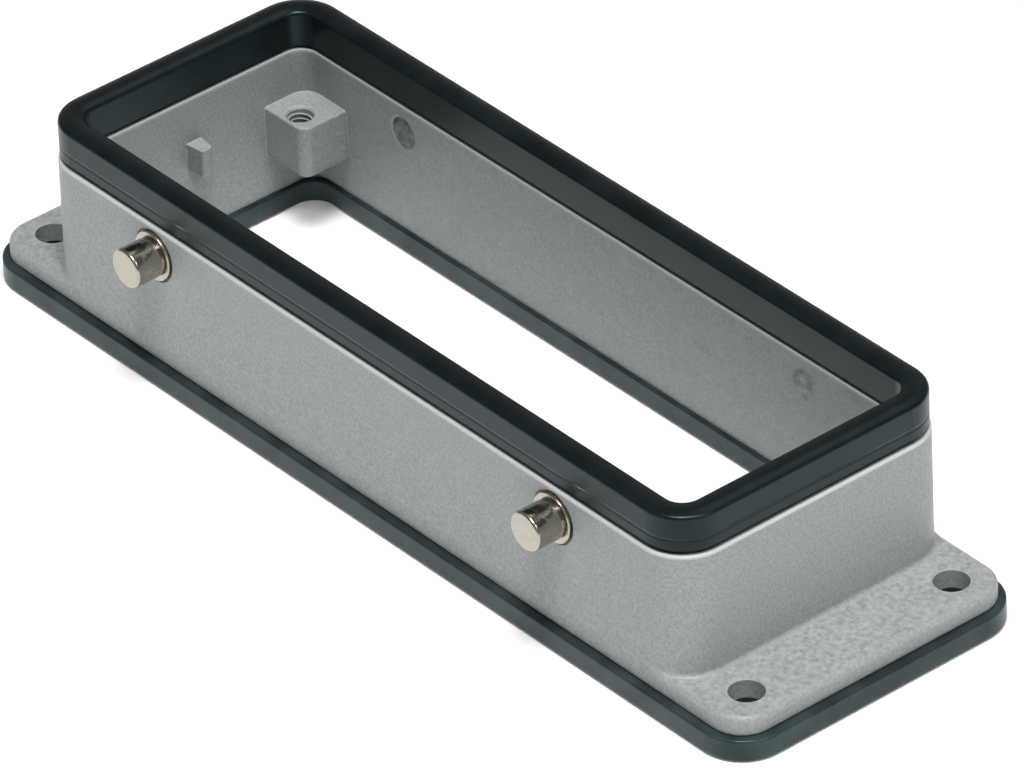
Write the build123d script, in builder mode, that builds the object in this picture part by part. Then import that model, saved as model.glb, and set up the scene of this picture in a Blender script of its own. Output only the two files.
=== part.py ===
from build123d import *
from math import atan, degrees
import os

# Mounting housing of a heavy-duty rectangular connector, for a hood that is held by two
# locking levers. Millimetres, +X along the long side, +Z up, the origin on the panel face
# in the middle of the four mounting holes.

# Insert screws of the contact block, and the room from them to the walls of the cavity
insert_pitch_x = 104.0
insert_pitch_y = 27.0
insert_screw_core = 3.3
insert_screw_lead_in = 0.3
lead_in_angle = 90.0
insert_to_end_wall = 4.15
insert_to_side_wall = 4.2

# Walls: thickness at the shoulder and at the foot, and how far they lean in on their way up
wall_at_shoulder = 3.55
side_wall_at_foot = 2.5
end_wall_at_foot = 3.5
wall_taper = 0.15
body_corner_radius = 6.2
foot_radius = 0.6
shoulder_height = 17.0
shoulder_edge_radius = 0.4

# Flange: its screws go through to the panel, and its long sides lie almost flush with the walls
screw_to_end_wall = 5.15
screw_to_flange_end = 4.8
screw_to_flange_side = 5.45
flange_hole_diameter = 4.5
flange_ledge = 0.05
flange_thickness = 2.6
flange_corner_radius = 4.4
flange_top_edge_radius = 0.8
flange_lower_edge_radius = 0.3

# Bosses for the insert screws, in the corners of the cavity
boss_top = 16.3
boss_height = 7.8
boss_land_x = 3.3
boss_land_y = 2.3
boss_root = 1.5
boss_corner_radius = 1.5
boss_top_edge_radius = 0.3
boss_foot_edge_radius = 1.4

# Lugs in the middle of the end walls
lug_top = 16.4
lug_height = 3.7
lug_reach = 2.6
lug_root_width = 2.8
lug_tip_width = 1.6
lug_edge_radius = 0.4

# Hood seal: a rubber channel with a crowned top, pushed upside down over the housing's rim
rim_height = 3.8
seal_inset = 0.2
seal_lip = 0.9
seal_fit = 0.05
seal_cap = 1.9
seal_crown = 0.45
seal_edge_radius = 0.5
seal_undercut = 0.5
seal_undercut_height = 0.7
seal_groove_height = 2.1
seal_groove_width = 0.6
seal_groove_depth = 0.07

# Flange gasket: a rubber frame that stands out past the metal on both sides, with a rib
# that locates it
gasket_thickness = 3.1
gasket_overhang = 1.2
gasket_inner_overhang = 0.55
gasket_corner_radius = 6.1
gasket_inner_corner_radius = 3.0
gasket_foot_edge_radius = 0.5
gasket_top_edge_radius = 0.3
gasket_hole_clearance = 0.25
rib_width = 1.0
rib_height = 0.8
rib_clearance = 0.1

# Locking pegs, turned, seated in spot faces and riveted over inside the side walls
peg_pitch_x = 74.6
peg_below_shoulder = 4.2
peg_diameter = 5.2
peg_reach = 4.9
peg_tip_radius = 0.4
collar_diameter = 6.6
collar_thickness = 0.8
collar_edge_radius = 0.15
neck_diameter = 4.6
neck_length = 0.35
shank_diameter = 4.0
shank_clearance = 0.02
rivet_flare = 0.3
rivet_recess = 0.15
spot_face_depth = 0.4
spot_face_clearance = 0.25

# Length that a cutting profile runs past the surface it cuts
overcut = 1.0

# Heights above the panel face
flange_top = gasket_thickness + flange_thickness
shoulder_z = flange_top + shoulder_height
seal_height = rim_height + seal_cap
peg_height = shoulder_z - peg_below_shoulder

# Outlines, from the cavity outward
cavity_length = insert_pitch_x + 2 * insert_to_end_wall
cavity_width = insert_pitch_y + 2 * insert_to_side_wall
shoulder_length = cavity_length + 2 * wall_at_shoulder
shoulder_width = cavity_width + 2 * wall_at_shoulder
shoulder_corner_radius = body_corner_radius - wall_taper
cavity_corner_radius = shoulder_corner_radius - wall_at_shoulder
body_length = shoulder_length + 2 * wall_taper
body_width = shoulder_width + 2 * wall_taper
cavity_foot_length = body_length - 2 * end_wall_at_foot
cavity_foot_width = body_width - 2 * side_wall_at_foot
screw_pitch_x = body_length + 2 * screw_to_end_wall
flange_length = screw_pitch_x + 2 * screw_to_flange_end
flange_width = body_width + 2 * flange_ledge
screw_pitch_y = flange_width - 2 * screw_to_flange_side

# Bosses: they run on from the screws into the walls
boss_length = boss_land_x + insert_to_end_wall + boss_root
boss_width = boss_land_y + insert_to_side_wall + boss_root
boss_pitch_x = insert_pitch_x + boss_length - 2 * boss_land_x
boss_pitch_y = insert_pitch_y + boss_width - 2 * boss_land_y

# Hood seal and the rim inside it
seal_length = shoulder_length - 2 * seal_inset
seal_width = shoulder_width - 2 * seal_inset
seal_corner_radius = shoulder_corner_radius - seal_inset
seal_thickness = wall_at_shoulder - seal_inset
rim_thickness = seal_thickness - 2 * (seal_lip + seal_fit)
rim_line_length = seal_length - seal_thickness
rim_line_width = seal_width - seal_thickness
rim_line_radius = seal_corner_radius - seal_thickness / 2

# Gasket: its rib runs along the middle of the walls' foot
gasket_length = flange_length + 2 * gasket_overhang
gasket_width = flange_width + 2 * gasket_overhang
gasket_inner_length = cavity_foot_length - 2 * gasket_inner_overhang
gasket_inner_width = cavity_foot_width - 2 * gasket_inner_overhang
rib_line_length = (body_length + cavity_foot_length) / 2
rib_line_width = (body_width + cavity_foot_width) / 2
rib_line_radius = (body_corner_radius + cavity_corner_radius) / 2

# Pegs: offsets of the walls' faces at their height, and the four seats of their collars
outer_face_offset = body_width / 2 - wall_taper * (peg_height - flange_top) / shoulder_height
seat_offset = outer_face_offset - spot_face_depth
inner_face_lean = (cavity_foot_width - cavity_width) / 2 / (shoulder_z - gasket_thickness)
inner_face_offset = cavity_foot_width / 2 - inner_face_lean * (peg_height - gasket_thickness)
seat_to_inner_face = seat_offset - inner_face_offset


def rounded_frame(length, width, radius, thickness):
    """Adds a rounded rectangular frame to the sketch, sized along its middle line."""
    RectangleRounded(length + thickness, width + thickness, radius + thickness / 2)
    RectangleRounded(
        length - thickness, width - thickness, radius - thickness / 2, mode=Mode.SUBTRACT
    )


def peg_seat(side_x, side_y):
    """The plane through a peg's axis with its origin on the collar's seat and Y pointing out."""
    return Plane(
        origin=(side_x * peg_pitch_x / 2, side_y * seat_offset, peg_height),
        x_dir=(1, 0, 0),
        z_dir=(0, 0, side_y),
    )


def peg_socket_profile(seat):
    """Half the section of a peg's hole: countersink inside, bore, and spot face outside."""
    bore = shank_diameter / 2 + shank_clearance
    spot_face = collar_diameter / 2 + spot_face_clearance
    with BuildSketch(seat) as profile:
        with BuildLine():
            Polyline(
                (0, -seat_to_inner_face - overcut),
                (bore + rivet_flare + overcut, -seat_to_inner_face - overcut),
                (bore, -seat_to_inner_face + rivet_flare),
                (bore, 0),
                (spot_face, 0),
                (spot_face, spot_face_depth + overcut),
                (0, spot_face_depth + overcut),
                close=True,
            )
        make_face()
    return profile.sketch


def peg_profile(seat):
    """Half the section of a peg: riveted end, shank, collar, neck and rounded pin."""
    with BuildSketch(seat) as profile:
        with BuildLine():
            Polyline(
                (0, -seat_to_inner_face + rivet_recess),
                (shank_diameter / 2 + rivet_flare - rivet_recess, -seat_to_inner_face + rivet_recess),
                (shank_diameter / 2, -seat_to_inner_face + rivet_flare),
                (shank_diameter / 2, 0),
                (collar_diameter / 2, 0),
                (collar_diameter / 2, collar_thickness),
                (neck_diameter / 2, collar_thickness),
                (neck_diameter / 2, collar_thickness + neck_length),
                (peg_diameter / 2, collar_thickness + neck_length),
                (peg_diameter / 2, peg_reach),
                (0, peg_reach),
                close=True,
            )
        make_face()
        fillet(profile.vertices().group_by(Axis.Y)[-1].sort_by(Axis.X)[-1], peg_tip_radius)
        fillet(profile.vertices().group_by(Axis.X)[-1], collar_edge_radius)
    return profile.sketch


peg_seats = {
    "front_left": peg_seat(-1, -1),
    "front_right": peg_seat(1, -1),
    "rear_left": peg_seat(-1, 1),
    "rear_right": peg_seat(1, 1),
}

# Boss block, rounded all round: two of its sides disappear in the housing's walls
with BuildPart() as boss:
    with BuildSketch(Plane.XY.offset(boss_top)):
        RectangleRounded(boss_length, boss_width, boss_corner_radius)
    extrude(amount=-boss_height)
    fillet(boss.edges().group_by(Axis.Z)[0], boss_foot_edge_radius)
    fillet(boss.edges().group_by(Axis.Z)[-1], boss_top_edge_radius)

# Housing: one die-casting
with BuildPart() as housing:
    # Walls on a blank wider than the flange, so that the foot radius runs all round
    with BuildSketch(Plane.XY.offset(gasket_thickness)):
        blank_margin = 2 * (foot_radius + flange_ledge)
        Rectangle(flange_length + blank_margin, flange_width + blank_margin)
    extrude(amount=flange_thickness)
    with BuildSketch(Plane.XY.offset(flange_top)):
        RectangleRounded(body_length, body_width, body_corner_radius)
    extrude(amount=shoulder_height, taper=degrees(atan(wall_taper / shoulder_height)))
    ledge = housing.faces().filter_by(Axis.Z).sort_by(Axis.Z)[1]
    fillet(ledge.inner_wires()[0].edges(), foot_radius)

    # Flange outline, and rounded edges: the top one runs on from the ends along the foot radius
    with BuildSketch(Plane.XY.offset(gasket_thickness)):
        RectangleRounded(flange_length, flange_width, flange_corner_radius)
    extrude(amount=flange_thickness + shoulder_height, mode=Mode.INTERSECT)
    fillet(housing.edges().group_by(Axis.Z)[0], flange_lower_edge_radius)
    fillet(housing.edges().group_by(Axis.Z)[-1], shoulder_edge_radius)
    end_edges = housing.edges().filter_by(Axis.Y).group_by(Axis.X)
    fillet([end_edges[side].sort_by(Axis.Z)[-1] for side in (0, -1)], flange_top_edge_radius)

    # Cavity
    with BuildSketch(Plane.XY.offset(gasket_thickness)):
        RectangleRounded(cavity_foot_length, cavity_foot_width, cavity_corner_radius)
    with BuildSketch(Plane.XY.offset(shoulder_z)):
        RectangleRounded(cavity_length, cavity_width, cavity_corner_radius)
    loft(mode=Mode.SUBTRACT)

    # Rim that carries the hood seal
    with BuildSketch(Plane.XY.offset(shoulder_z)):
        rounded_frame(rim_line_length, rim_line_width, rim_line_radius, rim_thickness)
    extrude(amount=rim_height)

    # Groove for the gasket's rib
    with BuildSketch(Plane.XY.offset(gasket_thickness)):
        rounded_frame(rib_line_length, rib_line_width, rib_line_radius, rib_width + 2 * rib_clearance)
    extrude(amount=rib_height + rib_clearance, mode=Mode.SUBTRACT)

    # Corner bosses with their tapping holes
    with GridLocations(boss_pitch_x, boss_pitch_y, 2, 2):
        add(boss.part)
    with Locations((0, 0, boss_top)):
        with GridLocations(insert_pitch_x, insert_pitch_y, 2, 2):
            CounterSinkHole(
                insert_screw_core / 2,
                insert_screw_core / 2 + insert_screw_lead_in,
                boss_height + overcut,
                lead_in_angle,
            )

    # Lugs
    with BuildSketch(Plane.XY.offset(lug_top)) as lug:
        with BuildLine():
            lug_root_x = (cavity_length + wall_at_shoulder) / 2
            lug_tip_x = cavity_length / 2 - lug_reach
            Polyline(
                (lug_root_x, -lug_root_width / 2),
                (lug_tip_x, -lug_tip_width / 2),
                (lug_tip_x, lug_tip_width / 2),
                (lug_root_x, lug_root_width / 2),
                close=True,
            )
        make_face()
        fillet(lug.vertices().group_by(Axis.X)[0], lug_edge_radius)
        mirror(about=Plane.YZ)
    extrude(amount=-lug_height)

    # Flange holes and the seats of the pegs
    with Locations((0, 0, flange_top)):
        with GridLocations(screw_pitch_x, screw_pitch_y, 2, 2):
            Hole(flange_hole_diameter / 2, flange_thickness + overcut)
    for seat in peg_seats.values():
        revolve(peg_socket_profile(seat), axis=Axis(seat.origin, seat.y_dir), mode=Mode.SUBTRACT)
housing.part.label = "housing"

# Hood seal: one section swept round a quarter of the rim, then mirrored twice
with BuildPart() as hood_seal:
    with BuildLine(Plane.XY.offset(shoulder_z)) as seal_path:
        FilletPolyline(
            (0, -seal_width / 2),
            (seal_length / 2, -seal_width / 2),
            (seal_length / 2, 0),
            radius=seal_corner_radius,
        )
    with BuildSketch(
        Plane(origin=(0, -seal_width / 2, shoulder_z), x_dir=(0, 1, 0), z_dir=(1, 0, 0))
    ) as seal_section:
        with BuildLine():
            edge_height = seal_height - seal_crown
            Polyline(
                (0, edge_height),
                (0, seal_groove_height + seal_groove_width / 2),
                (seal_groove_depth, seal_groove_height),
                (0, seal_groove_height - seal_groove_width / 2),
                (0, seal_undercut_height),
                (seal_undercut, seal_undercut_height),
                (seal_undercut, 0),
                (seal_lip, 0),
                (seal_lip, rim_height),
                (seal_thickness - seal_lip, rim_height),
                (seal_thickness - seal_lip, 0),
                (seal_thickness - seal_undercut, 0),
                (seal_thickness - seal_undercut, seal_undercut_height),
                (seal_thickness, seal_undercut_height),
                (seal_thickness, edge_height),
            )
            ThreePointArc(
                (0, edge_height), (seal_thickness / 2, seal_height), (seal_thickness, edge_height)
            )
        make_face()
        fillet(
            seal_section.vertices().group_by(Axis.Y)[-1],
            seal_edge_radius,
        )
    sweep(path=seal_path.wire())
    mirror(about=Plane.YZ)
    mirror(about=Plane.XZ)
hood_seal.part.label = "hood_seal"

# Flange gasket
with BuildPart() as flange_gasket:
    # Frame with rounded edges outside and inside, the larger ones on the panel
    with BuildSketch(Plane.XY):
        RectangleRounded(gasket_length, gasket_width, gasket_corner_radius)
        RectangleRounded(
            gasket_inner_length,
            gasket_inner_width,
            gasket_inner_corner_radius,
            mode=Mode.SUBTRACT,
        )
    extrude(amount=gasket_thickness)
    fillet(flange_gasket.edges().group_by(Axis.Z)[0], gasket_foot_edge_radius)
    fillet(flange_gasket.edges().group_by(Axis.Z)[-1], gasket_top_edge_radius)

    # Locating rib
    with BuildSketch(Plane.XY.offset(gasket_thickness)):
        rounded_frame(rib_line_length, rib_line_width, rib_line_radius, rib_width)
    extrude(amount=rib_height)

    # Holes for the flange screws
    with GridLocations(screw_pitch_x, screw_pitch_y, 2, 2):
        Hole(flange_hole_diameter / 2 + gasket_hole_clearance)
flange_gasket.part.label = "flange_gasket"

os.makedirs("parts", exist_ok=True)
export_step(housing.part, "parts/housing.step")
export_step(hood_seal.part, "parts/hood_seal.step")
export_step(flange_gasket.part, "parts/flange_gasket.step")

# Locking pegs
for position, seat in peg_seats.items():
    with BuildPart() as locking_peg:
        revolve(peg_profile(seat), axis=Axis(seat.origin, seat.y_dir))
    locking_peg.part.label = f"locking_peg_{position}"
    export_step(locking_peg.part, f"parts/{locking_peg.part.label}.step")
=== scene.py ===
"""Looks of the mounting housing of a heavy-duty rectangular connector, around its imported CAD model."""

import logging
import math
from dataclasses import dataclass, field
from enum import Enum

import bpy
from mathutils import Matrix, Vector


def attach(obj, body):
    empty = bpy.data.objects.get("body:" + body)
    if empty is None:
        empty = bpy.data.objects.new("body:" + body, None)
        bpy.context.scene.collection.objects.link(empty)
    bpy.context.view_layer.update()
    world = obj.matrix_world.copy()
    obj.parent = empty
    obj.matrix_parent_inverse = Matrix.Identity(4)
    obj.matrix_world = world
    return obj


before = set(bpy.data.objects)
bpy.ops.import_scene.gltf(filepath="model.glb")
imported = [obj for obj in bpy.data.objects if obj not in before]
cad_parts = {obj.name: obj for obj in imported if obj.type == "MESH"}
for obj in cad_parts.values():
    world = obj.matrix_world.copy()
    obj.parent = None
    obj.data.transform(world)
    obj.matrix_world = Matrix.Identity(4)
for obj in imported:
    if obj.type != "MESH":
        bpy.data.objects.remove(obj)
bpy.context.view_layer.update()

log = logging.getLogger("mounting_housing")

Tree, Node, Socket = bpy.types.NodeTree, bpy.types.Node, bpy.types.NodeSocket
Range = tuple[float, float]

MM = 0.001
WHITE = "FFFFFF"
# The middle of a noise pattern's values, and the range that a factor takes.
CONTRAST: Range = (0.3, 0.7)
FACTOR: Range = (0.0, 1.0)
# Numbers of a colour mix's two inputs and of its output.
MIX_FIRST, MIX_SECOND, MIXED = 6, 7, 2


class Slot(Enum):
    """The record's material slots."""

    CASTING = "coated_die_cast_aluminium"
    SEAL = "seal_rubber"
    GASKET = "gasket_rubber"
    PEGS = "nickel_plated_steel"


# Nodes, colours and directions


def linear(colour: str) -> tuple[float, float, float, float]:
    """Turns an sRGB hex colour into a linear one.

    Args:
        colour: six hex digits, such as "A0A3A4".

    Returns:
        Linear red, green and blue, and an alpha of one.
    """
    channels = [int(colour[i : i + 2], 16) / 255 for i in (0, 2, 4)]
    return (*[c / 12.92 if c <= 0.04045 else ((c + 0.055) / 1.055) ** 2.4 for c in channels], 1.0)


def per_metre(millimetres: float) -> float:
    """Returns the texture scale whose pattern repeats about every so many millimetres."""
    return 1 / (millimetres * MM)


def toward(azimuth: float, elevation: float) -> Vector:
    """Finds the direction from the object to a camera or lamp.

    Args:
        azimuth: degrees round the object from its front, towards +X.
        elevation: degrees above the floor.

    Returns:
        The direction, of length one.
    """
    around, above = math.radians(azimuth), math.radians(elevation)
    level = math.cos(above)
    return Vector((math.sin(around) * level, -math.cos(around) * level, math.sin(above)))


def add_node(tree: Tree, kind: str, sockets: dict | tuple = (), **settings) -> Node:
    """Adds a node with its settings and links.

    Args:
        tree: node tree that gets the node.
        kind: Blender's type name of the node.
        sockets: value or source socket of each input, by name or number, or in order.
        settings: properties of the node.

    Returns:
        The new node.
    """
    node = tree.nodes.new(kind)
    for name, value in settings.items():
        setattr(node, name, value)
    inputs = sockets if isinstance(sockets, dict) else dict(enumerate(sockets))
    for name, value in inputs.items():
        if isinstance(value, Socket):
            tree.links.new(value, node.inputs[name])
        else:
            node.inputs[name].default_value = value
    return node


# Finishes


@dataclass(frozen=True)
class Finish:
    """A surface finish that builds one procedural material."""

    name: str

    def build(self) -> bpy.types.Material:
        """Makes the material.

        Returns:
            The material, with this finish on the piece's own coordinates.
        """
        material = bpy.data.materials.new(self.name)
        material.use_nodes = True
        tree = material.node_tree
        tree.nodes.clear()
        place = add_node(tree, "ShaderNodeTexCoord").outputs["Object"]
        shader = self.surface(tree, place)
        add_node(tree, "ShaderNodeOutputMaterial", {"Surface": shader.outputs["BSDF"]})
        return material

    def surface(self, tree: Tree, place: Socket) -> Node:
        """Builds the shader of this finish on the coordinates in place."""
        raise NotImplementedError


@dataclass(frozen=True)
class PowderCoatedCasting(Finish):
    """Die-cast aluminium under a thin grey powder coat: an even satin grey with the fine grain of the
    powder, a slow waviness where it flowed, lighter edges that are partly a thinner coat and partly painted
    highlight, a painted highlight line along the shoulder, spots on the flange's top where it is rubbed and
    holds dust, and painted shade on the cavity's walls and in the hollows, kept off rounded edges.

    Attributes:
        hollow, coat: the two greys of the grain.
        thin_coat_and_highlight: light grey of a thin coat, also used as painted highlight on edges and along
            the shoulder.
        painted_shade: dark grey painted as shade into the deepest hollows.
        inner_wall_shade: grey multiplied onto the cavity's walls as painted shade.
        rubbed: the two greys of the flange's spots.
        grain: size of the powder's grains in mm, drawn coarser than the real 0.1 so that they show.
        speckle: size of the spots in mm.
        flow: size of the waves in mm.
        detail: finer layers in the grain and the spots.
        grain_depth, flow_depth: relief of the grains and waves in mm.
        gloss: roughness from the troughs to the crests of the waves.
        edge: radius in mm over which an edge is thin.
        edge_turn: cosines between the true and the rounded normal at the thinnest and the full coat.
        edge_share, shoulder_highlight_share: how much of the light grey an edge takes, partly as thin coat
            and
        partly as painted highlight, and how much the shoulder's painted highlight line takes.
        shoulder_highlight: where the shoulder's painted highlight line begins and is full, in mm from the
        shoulder's top. The rim above it stays as light.
        spots_end: lower and upper end of the spots' fade in mm above the flange's top.
        level: height of the normal at which a face begins to count as level, and is level.
        upright: height of the normal from which a face no longer counts as upright, not even in part.
        reach: how far off in mm a hollow's other walls still add painted shade to it.
        open_sky: share of open sky up to which the painted shade is darkest, and from which there is none.
        shade_share: how much of the painted shade's grey the deepest hollows take.
        round_edge: depth in mm of the metal that is tested below a rounded edge.
        unshaded_edge: share of open air there up to which all the painted shade stays, and from which none
            does, so that rounded edges stay light as if lit.
        edge_rays, sky_rays: samples of the edges and of the hollows.
        core: length and width in mm of the box round the cavity whose upright faces get painted shade.
        shoulder, flange_top: heights in mm above the panel face.
    """

    name: str = "powder_coated_die_cast_aluminium"
    hollow: str = "8B9090"
    coat: str = "A4A8A8"
    # Light grey: a thin coat on edges, and painted highlight on edges and along the shoulder.
    thin_coat_and_highlight: str = "CDD1D1"
    # Painted shade: dark grey put into the hollows.
    painted_shade: str = "585F60"
    # Painted shade: grey that darkens the cavity's walls.
    inner_wall_shade: str = "E9ECEC"
    rubbed: tuple[str, str] = ("868B8B", "ABAFAE")
    grain: float = 0.36
    speckle: float = 0.6
    flow: float = 1.6
    detail: float = 3.0
    grain_depth: float = 0.04
    flow_depth: float = 0.02
    gloss: Range = (0.36, 0.5)
    edge: float = 0.3
    edge_turn: Range = (0.85, 0.98)
    edge_share: float = 0.7
    # Painted highlight: a light line along the shoulder under the seal.
    shoulder_highlight: Range = (-0.5, -0.2)
    shoulder_highlight_share: float = 0.8
    spots_end: Range = (0.1, 0.6)
    level: Range = (0.9, 1.0)
    upright: float = 0.9
    # The next five set the painted shade in the hollows, and keep it off rounded edges so that they stay
    # light as if lit.
    reach: float = 20.0
    open_sky: Range = (0.1, 0.7)
    shade_share: float = 0.8
    round_edge: float = 1.6
    unshaded_edge: Range = (0.06, 0.34)
    edge_rays: int = 6
    sky_rays: int = 8
    core: Range = (114.6, 38.6)
    shoulder: float = 22.7
    flange_top: float = 5.7

    def surface(self, tree: Tree, place: Socket) -> Node:
        """Builds the coat: its greys, the light edges that are partly painted highlight, the painted shade
        on the walls and in the hollows, and two reliefs.

        Args:
            tree: node tree of the material.
            place: the piece's own coordinates.

        Returns:
            The shader.
        """
        facing = add_node(tree, "ShaderNodeNewGeometry").outputs["Normal"]
        upward = add_node(tree, "ShaderNodeSeparateXYZ", (facing,)).outputs["Z"]
        upright = add_node(tree, "ShaderNodeMapRange", (upward, 0.0, self.upright, 1.0, 0.0)).outputs[0]
        height = add_node(tree, "ShaderNodeSeparateXYZ", (place,)).outputs["Z"]
        sockets = {"Radius": self.edge * MM}
        rounded = add_node(tree, "ShaderNodeBevel", sockets, samples=self.edge_rays).outputs[0]
        sockets = {"Vector": place, "Scale": per_metre(self.grain), "Detail": self.detail}
        grain = add_node(tree, "ShaderNodeTexNoise", sockets).outputs[0]
        sockets = {"Vector": place, "Scale": per_metre(self.flow)}
        waves = add_node(tree, "ShaderNodeTexNoise", sockets).outputs[0]

        crests = add_node(tree, "ShaderNodeMapRange", (grain, *CONTRAST, *FACTOR)).outputs[0]
        layers = (
            (crests, linear(self.coat), "MIX"),
            (self.on_flange(tree, height, upward), self.spots(tree, place), "MIX"),
            # Light edges, partly a thinner coat and partly painted highlight, and a painted highlight line
            # on the shoulder.
            (self.on_edges_and_shoulder_highlight(tree, rounded, facing, height), linear(self.thin_coat_and_highlight), "MIX"),
            # Painted shade on the cavity's walls.
            (self.on_inner_walls(tree, place, upright), linear(self.inner_wall_shade), "MULTIPLY"),
            # Painted shade in the hollows.
            (self.shade_in_hollows(tree, upright), linear(self.painted_shade), "MIX"),
        )
        colour = linear(self.hollow)
        for factor, tone, blend in layers:
            sockets = {"Factor": factor, MIX_FIRST: colour, MIX_SECOND: tone}
            layer = add_node(tree, "ShaderNodeMix", sockets, data_type="RGBA", blend_type=blend)
            colour = layer.outputs[MIXED]

        relief = rounded
        for pattern, depth in ((waves, self.flow_depth), (grain, self.grain_depth)):
            sockets = {"Height": pattern, "Distance": depth * MM, "Normal": relief}
            relief = add_node(tree, "ShaderNodeBump", sockets).outputs["Normal"]
        roughness = add_node(tree, "ShaderNodeMapRange", (waves, *CONTRAST, *self.gloss)).outputs[0]
        sockets = {"Base Color": colour, "Roughness": roughness, "Normal": relief}
        return add_node(tree, "ShaderNodeBsdfPrincipled", sockets)

    def spots(self, tree: Tree, place: Socket) -> Socket:
        """Builds the two greys of the flange's spots.

        Args:
            tree: node tree of the material.
            place: the piece's own coordinates.

        Returns:
            Their colour.
        """
        sockets = {"Vector": place, "Scale": per_metre(self.speckle), "Detail": self.detail}
        noise = add_node(tree, "ShaderNodeTexNoise", sockets).outputs[0]
        factor = add_node(tree, "ShaderNodeMapRange", (noise, *CONTRAST, *FACTOR)).outputs[0]
        dark, light = (linear(grey) for grey in self.rubbed)
        sockets = {"Factor": factor, MIX_FIRST: dark, MIX_SECOND: light}
        return add_node(tree, "ShaderNodeMix", sockets, data_type="RGBA").outputs[MIXED]

    def on_flange(
        self, tree: Tree, height: Socket, upward: Socket
    ) -> Socket:
        """Finds the flange's top.

        Args:
            tree: node tree of the material.
            height: height above the panel face.
            upward: height of the normal.

        Returns:
            One on level faces no higher than the flange's top, and zero elsewhere.
        """
        end = [(self.flange_top + above) * MM for above in self.spots_end]
        low = add_node(tree, "ShaderNodeMapRange", (height, *end, 1.0, 0.0)).outputs[0]
        level = add_node(tree, "ShaderNodeMapRange", (upward, *self.level, *FACTOR)).outputs[0]
        return add_node(tree, "ShaderNodeMath", (level, low), operation="MULTIPLY").outputs[0]

    def on_edges_and_shoulder_highlight(
        self, tree: Tree, rounded: Socket, facing: Socket,
        height: Socket,
    ) -> Socket:
        """Finds the light edges, partly a thinner coat and partly painted highlight, and the shoulder's
        painted highlight line.

        Args:
            tree: node tree of the material.
            rounded: normal with rounded edges.
            facing: true normal.
            height: height above the panel face.

        Returns:
            The share of the light grey, partly thin coat and partly painted highlight.
        """
        turned = add_node(tree, "ShaderNodeVectorMath", (rounded, facing), operation="DOT_PRODUCT")
        sockets = (turned.outputs["Value"], *self.edge_turn, self.edge_share, 0.0)
        edge = add_node(tree, "ShaderNodeMapRange", sockets).outputs[0]
        # Painted highlight: a light line along the shoulder.
        line = [(self.shoulder + above) * MM for above in self.shoulder_highlight]
        shoulder_highlight = add_node(tree, "ShaderNodeMapRange", (height, *line, 0.0, self.shoulder_highlight_share)).outputs[0]
        return add_node(tree, "ShaderNodeMath", (edge, shoulder_highlight), operation="MAXIMUM").outputs[0]

    def on_inner_walls(
        self, tree: Tree, place: Socket, upright: Socket
    ) -> Socket:
        """Finds the cavity's walls, which get painted shade, as the upright faces in the box round it.

        Args:
            tree: node tree of the material.
            place: the piece's own coordinates.
            upright: one on upright faces.

        Returns:
            One on the cavity's walls, and zero elsewhere.
        """
        axes = add_node(tree, "ShaderNodeSeparateXYZ", (place,))
        walls = upright
        for axis, size in zip("XY", self.core):
            offset = add_node(tree, "ShaderNodeMath", (axes.outputs[axis],), operation="ABSOLUTE").outputs[0]
            sockets = (offset, size / 2 * MM)
            within = add_node(tree, "ShaderNodeMath", sockets, operation="LESS_THAN").outputs[0]
            walls = add_node(tree, "ShaderNodeMath", (walls, within), operation="MULTIPLY").outputs[0]
        return walls

    def shade_in_hollows(self, tree: Tree, upright: Socket) -> Socket:
        """Finds where painted shade goes: upright faces that see little sky, kept off rounded edges so that
        these stay light.

        Args:
            tree: node tree of the material.
            upright: one on upright faces.

        Returns:
            The share of the painted shade's grey.
        """
        share = upright
        # Painted shade on upright faces that see little sky, taken off rounded edges so that they stay
        # light.
        tests = (
            (self.reach, False, self.open_sky, self.shade_share),
            (self.round_edge, True, self.unshaded_edge, 1.0),
        )
        for distance, inside, source, most in tests:
            seen = add_node(
                tree, "ShaderNodeAmbientOcclusion", {"Distance": distance * MM}, samples=self.sky_rays,
                only_local=True, inside=inside,
            )
            sockets = (seen.outputs["AO"], *source, most, 0.0)
            factor = add_node(tree, "ShaderNodeMapRange", sockets).outputs[0]
            share = add_node(tree, "ShaderNodeMath", (share, factor), operation="MULTIPLY").outputs[0]
        return share


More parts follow.
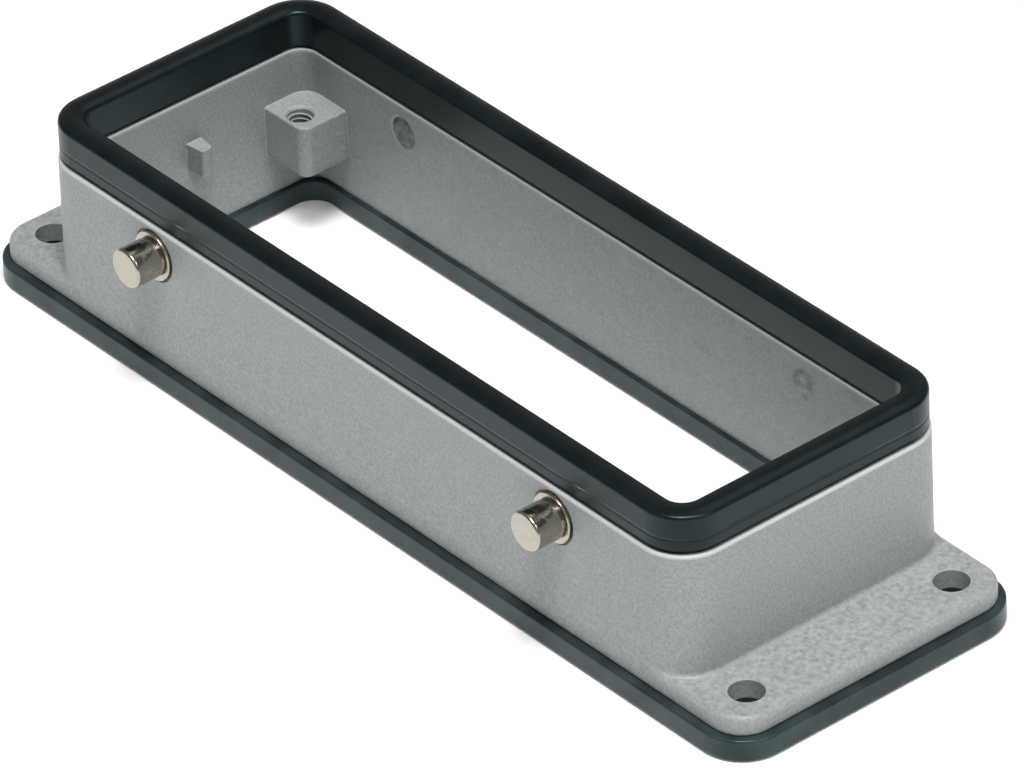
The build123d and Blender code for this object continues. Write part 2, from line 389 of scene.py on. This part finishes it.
@dataclass(frozen=True)
class MouldedRubber(Finish):
    """Nitrile rubber from a polished mould: near black with a green grey bloom, a soft wide sheen,
    and faint flow marks.

    Attributes:
        deep, bloom: the two tones of its flow marks.
        sheen_tint: tint of its reflections.
        grain: size of its fine grain in mm, drawn coarser than the real one so that it shows.
        flow: size of its flow marks in mm.
        flow_detail: finer layers in them.
        grain_depth: relief of the grain in mm.
        gloss: lowest and highest roughness.
        ior: index of refraction.
    """

    name: str = "moulded_nitrile_rubber"
    deep: str = "06090A"
    bloom: str = "101718"
    sheen_tint: str = "B4D8DB"
    grain: float = 0.25
    flow: float = 5.0
    flow_detail: float = 4.0
    grain_depth: float = 0.008
    gloss: Range = (0.28, 0.4)
    ior: float = 1.5

    def surface(self, tree: Tree, place: Socket) -> Node:
        """Builds the rubber: bloom in slow patches, and a fine grain in its gloss and relief.

        Args:
            tree: node tree of the material.
            place: the piece's own coordinates.

        Returns:
            The shader.
        """
        sockets = {"Vector": place, "Scale": per_metre(self.grain)}
        grain = add_node(tree, "ShaderNodeTexNoise", sockets).outputs[0]
        sockets = {"Vector": place, "Scale": per_metre(self.flow), "Detail": self.flow_detail}
        flow = add_node(tree, "ShaderNodeTexNoise", sockets).outputs[0]
        marks = add_node(tree, "ShaderNodeMapRange", (flow, *CONTRAST, *FACTOR)).outputs[0]
        tones = {"Factor": marks, MIX_FIRST: linear(self.deep), MIX_SECOND: linear(self.bloom)}
        relief = {"Height": grain, "Distance": self.grain_depth * MM}
        sockets = {
            "Base Color": add_node(tree, "ShaderNodeMix", tones, data_type="RGBA").outputs[MIXED],
            "Roughness": add_node(tree, "ShaderNodeMapRange", (grain, *CONTRAST, *self.gloss)).outputs[0],
            "IOR": self.ior,
            "Specular Tint": linear(self.sheen_tint),
            "Normal": add_node(tree, "ShaderNodeBump", relief).outputs["Normal"],
        }
        return add_node(tree, "ShaderNodeBsdfPrincipled", sockets)


@dataclass(frozen=True)
class NickelPlatedSteel(Finish):
    """Turned steel under bright nickel: a warm mirror, a little duller in patches. The end that is
    riveted over inside the wall went under the housing's grey coat, which is smudged there.

    Attributes:
        plating: the plating's dull and bright tone.
        coated: the two tones of the smudged coat.
        patch, smudge: size of the dull patches and of the smudges in mm.
        gloss: roughness from the dull to the bright patches.
        rivet_depth: distance in mm from the middle plane up to which a peg is coated.
        blend: width in mm of the coat's end.
    """

    name: str = "nickel_plated_turned_steel"
    plating: tuple[str, str] = ("A8A295", "C2BEB2")
    coated: tuple[str, str] = ("4C4F49", "8B9090")
    patch: float = 0.8
    smudge: float = 1.2
    gloss: Range = (0.16, 0.3)
    rivet_depth: float = 20.3
    blend: float = 0.1

    def surface(self, tree: Tree, place: Socket) -> Node:
        """Builds the plating, and the smudged coat inside the wall.

        Args:
            tree: node tree of the material.
            place: the piece's own coordinates.

        Returns:
            The shader.
        """
        patches, smudges = (
            add_node(tree, "ShaderNodeTexNoise", {"Vector": place, "Scale": per_metre(size)}).outputs[0]
            for size in (self.patch, self.smudge)
        )
        smudges = add_node(tree, "ShaderNodeMapRange", (smudges, *CONTRAST, *FACTOR)).outputs[0]
        tones = []
        for factor, (dark, light) in ((smudges, self.coated), (patches, self.plating)):
            sockets = {"Factor": factor, MIX_FIRST: linear(dark), MIX_SECOND: linear(light)}
            tones.append(add_node(tree, "ShaderNodeMix", sockets, data_type="RGBA").outputs[MIXED])

        across = add_node(tree, "ShaderNodeSeparateXYZ", (place,)).outputs["Y"]
        depth = add_node(tree, "ShaderNodeMath", (across,), operation="ABSOLUTE").outputs[0]
        end = [self.rivet_depth * MM, (self.rivet_depth + self.blend) * MM]
        plated = add_node(tree, "ShaderNodeMapRange", (depth, *end, *FACTOR)).outputs[0]
        ends = {"Factor": plated, MIX_FIRST: tones[0], MIX_SECOND: tones[1]}
        sockets = {
            "Base Color": add_node(tree, "ShaderNodeMix", ends, data_type="RGBA").outputs[MIXED],
            "Metallic": plated,
            "Roughness": add_node(tree, "ShaderNodeMapRange", (patches, *CONTRAST, *self.gloss)).outputs[0],
        }
        return add_node(tree, "ShaderNodeBsdfPrincipled", sockets)


@dataclass(frozen=True)
class LitBoard(Finish):
    """Matt white board of a light table: the light from below takes out most of the shadows."""

    name: str = "lit_white_board"
    white: str = "F4F4F4"
    light: str = WHITE
    glow: float = 0.14
    roughness: float = 0.9

    def surface(self, tree: Tree, place: Socket) -> Node:
        """Builds a matt white with a soft glow.

        Args:
            tree: node tree of the material.
            place: the floor's own coordinates, which this finish doesn't use.

        Returns:
            The shader.
        """
        sockets = {
            "Base Color": linear(self.white),
            "Roughness": self.roughness,
            "Emission Color": linear(self.light),
            "Emission Strength": self.glow,
        }
        return add_node(tree, "ShaderNodeBsdfPrincipled", sockets)


# Studio


@dataclass(frozen=True)
class SoftBox:
    """A square soft box that faces the object.

    Attributes:
        name: name of its lamp.
        azimuth, elevation: its direction in degrees.
        side: its side in metres.
        power: its power in watts.
        distance: its distance from the object in metres.
    """

    name: str
    azimuth: float
    elevation: float
    side: float
    power: float
    distance: float = 5.0

    def build(self) -> None:
        """Adds the lamp."""
        back = toward(self.azimuth, self.elevation)
        bpy.ops.object.light_add(type="AREA", location=back * self.distance)
        lamp = bpy.context.object
        lamp.name = self.name
        lamp.data.shape = "SQUARE"
        lamp.data.size = self.side
        lamp.data.energy = self.power
        lamp.rotation_euler = (-back).to_track_quat("-Z", "Y").to_euler()


@dataclass
class Studio:
    """Camera at the photograph's place, a pale floor and soft light.

    Attributes:
        picture_width: width of the picture in pixels.
        focal_pixels: focal length in pixels.
        azimuth, elevation, roll: the camera's direction and turn in degrees.
        target: point in mm that the camera looks at.
        distance: distance in mm from there to the camera.
        sensor: width of its sensor in mm.
        clip: nearest and farthest distance in metres that it sees.
        floor_side: side of the floor in metres.
        floor_gap: distance in mm of the floor below the gasket.
        ceiling: height of the direction at which the room begins to darken, and is dark.
        room_light: light from the walls and from the ceiling.
        board: finish of the floor.
        soft_boxes: the lamps.
    """

    picture_width: int = 1024
    focal_pixels: float = 10389.36
    azimuth: float = 51.094
    elevation: float = 34.715
    roll: float = -2.331
    target: tuple[float, float, float] = (10.392, -4.982, 15.0)
    distance: float = 1237.72
    sensor: float = 36.0
    clip: Range = (0.01, 100.0)
    floor_side: float = 14.0
    floor_gap: float = 0.02
    ceiling: Range = (0.55, 0.85)
    room_light: Range = (0.22, 0.07)
    board: LitBoard = field(default_factory=LitBoard)
    soft_boxes: tuple[SoftBox, ...] = (
        SoftBox("key_soft_box", 50, 74, side=1.8, power=250),
        SoftBox("side_soft_box", 98, 44, side=1.2, power=38),
        SoftBox("rear_soft_box", 203, 56, side=1.2, power=8),
    )

    def add_camera(self) -> None:
        """Adds the camera and makes it the scene's."""
        back = toward(self.azimuth, self.elevation)
        bpy.ops.object.camera_add(location=(Vector(self.target) + back * self.distance) * MM)
        camera = bpy.context.object
        camera.name = "photograph_camera"
        camera.rotation_mode = "QUATERNION"
        roll = Matrix.Rotation(math.radians(self.roll), 3, "Z")
        turn = (-back).to_track_quat("-Z", "Y").to_matrix() @ roll
        camera.rotation_quaternion = turn.to_quaternion()
        camera.data.sensor_width = self.sensor
        camera.data.lens = self.focal_pixels * self.sensor / self.picture_width
        camera.data.clip_start, camera.data.clip_end = self.clip
        camera.data.dof.use_dof = False
        bpy.context.scene.camera = camera

    def add_floor(self) -> None:
        """Adds the floor a hair below the gasket, so that the two faces don't fall in one plane."""
        bpy.ops.mesh.primitive_plane_add(size=self.floor_side, location=(0, 0, -self.floor_gap * MM))
        floor = bpy.context.object
        floor.name = "floor"
        floor.data.materials.append(self.board.build())

    def add_room(self) -> None:
        """Adds the room's light: pale walls under a darker ceiling."""
        world = bpy.data.worlds.new("studio_room")
        world.use_nodes = True
        tree = world.node_tree
        tree.nodes.clear()
        direction = add_node(tree, "ShaderNodeTexCoord").outputs["Generated"]
        height = add_node(tree, "ShaderNodeSeparateXYZ", (direction,)).outputs["Z"]
        sockets = (height, *self.ceiling, *self.room_light)
        level = add_node(tree, "ShaderNodeMapRange", sockets, interpolation_type="SMOOTHSTEP").outputs[0]
        light = add_node(tree, "ShaderNodeBackground", {"Color": linear(WHITE), "Strength": level})
        add_node(tree, "ShaderNodeOutputWorld", {"Surface": light.outputs[0]})
        bpy.context.scene.world = world

    def build(self) -> None:
        """Sets up the whole studio."""
        self.add_camera()
        self.add_floor()
        self.add_room()
        for soft_box in self.soft_boxes:
            soft_box.build()
        bpy.context.scene.view_settings.view_transform = "Standard"


# Sub-assemblies


@dataclass
class DressedNodes:
    """CAD nodes that keep their shape and get a finish.

    Attributes:
        nodes: names of the nodes.
        slot: material slot that they have in the record.
        finish: finish that they all get.
    """

    nodes: tuple[str, ...]
    slot: Slot
    finish: Finish

    def dress(self) -> None:
        """Puts the finish on each node."""
        material = self.finish.build()
        for name in self.nodes:
            for material_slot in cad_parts[name].material_slots:
                material_slot.material = material
            log.info("%s, of %s, is dressed in %s", name, self.slot.value, self.finish.name)


@dataclass
class InsertThreads:
    """Screw threads in the four bosses that the contact block is fixed to.

    Attributes:
        finish: finish of the threads.
        slot: material slot that they ride in; not used.
        pitch_x, pitch_y: distances between the bosses' holes in mm.
        core: diameter of the bore that the thread lies in, in mm.
        depth: height of the thread over the bore in mm, which is also its width at the bore.
        crest: width of its top as a share of that.
        lead: climb of the thread in one turn in mm.
        low: height in mm of its lower end above the panel face.
        turns: number of its turns.
        steps: facets of one turn.
        smooth: angle in degrees below which its facets are shaded smooth.
    """

    finish: Finish
    slot: Slot = Slot.CASTING
    pitch_x: float = 104.0
    pitch_y: float = 27.0
    core: float = 3.3
    depth: float = 0.2
    crest: float = 0.3
    lead: float = 0.7
    low: float = 8.75
    turns: int = 10
    steps: int = 32
    smooth: float = 40.0

    def wind_first(self) -> bpy.types.Object:
        """Winds one thread round the height axis and closes its ends.

        Returns:
            The thread, in the middle of the part.
        """
        bpy.ops.object.select_all(action="DESELECT")
        middle = (self.core / 2 - self.depth / 2) * MM
        bpy.ops.mesh.primitive_plane_add(
            size=self.depth * MM, location=(middle, 0, self.low * MM), rotation=(math.radians(90), 0, 0)
        )
        thread = bpy.context.object
        bpy.ops.object.transform_apply(location=True, rotation=True, scale=True)
        bpy.ops.object.mode_set(mode="EDIT")
        bpy.ops.mesh.select_all(action="SELECT")
        bpy.ops.mesh.delete(type="ONLY_FACE")
        bpy.ops.object.mode_set(mode="OBJECT")
        for corner in thread.data.vertices:
            corner.select = corner.co.x < middle
        bpy.ops.object.mode_set(mode="EDIT")
        bpy.ops.transform.resize(value=(1, 1, self.crest))
        bpy.ops.object.mode_set(mode="OBJECT")
        winding = thread.modifiers.new("winding", "SCREW")
        winding.axis = "Z"
        winding.screw_offset = self.lead * MM
        winding.iterations = self.turns
        winding.steps = winding.render_steps = self.steps
        bpy.ops.object.modifier_apply(modifier=winding.name)
        bpy.ops.object.mode_set(mode="EDIT")
        bpy.ops.mesh.select_all(action="SELECT")
        bpy.ops.mesh.fill_holes(sides=4)
        bpy.ops.mesh.select_all(action="SELECT")
        bpy.ops.mesh.normals_make_consistent(inside=False)
        bpy.ops.object.mode_set(mode="OBJECT")
        bpy.ops.object.shade_smooth_by_angle(angle=math.radians(self.smooth))
        return thread

    def build(self) -> None:
        """Copies the thread to the four bosses and puts the finish on."""
        material = self.finish.build()
        first = self.wind_first()
        for end_name, end in (("left", -1), ("right", 1)):
            for side_name, side in (("front", -1), ("rear", 1)):
                thread = first.copy()
                thread.data = first.data.copy()
                bpy.context.collection.objects.link(thread)
                thread.name = f"insert_thread_{side_name}_{end_name}"
                place = Vector((end * self.pitch_x / 2, side * self.pitch_y / 2, 0)) * MM
                thread.data.transform(Matrix.Translation(place))
                thread.data.materials.append(material)
                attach(thread, "root")
                log.info("%s is wound and dressed in %s", thread.name, self.finish.name)
        bpy.data.objects.remove(first)


def main() -> None:
    """Builds the sub-assemblies in order."""
    logging.basicConfig(level=logging.INFO, format="%(name)s: %(message)s")
    Studio().build()
    DressedNodes(("housing",), Slot.CASTING, PowderCoatedCasting()).dress()
    InsertThreads(PowderCoatedCasting(name="thread_in_coated_casting")).build()
    DressedNodes(("hood_seal",), Slot.SEAL, MouldedRubber()).dress()
    gasket_rubber = MouldedRubber(name="moulded_gasket_rubber", deep="1B2122", bloom="343F40")
    DressedNodes(("flange_gasket",), Slot.GASKET, gasket_rubber).dress()
    pegs = tuple(f"locking_peg_{side}_{end}" for side in ("front", "rear") for end in ("left", "right"))
    DressedNodes(pegs, Slot.PEGS, NickelPlatedSteel()).dress()


if __name__ == "__main__":
    main()
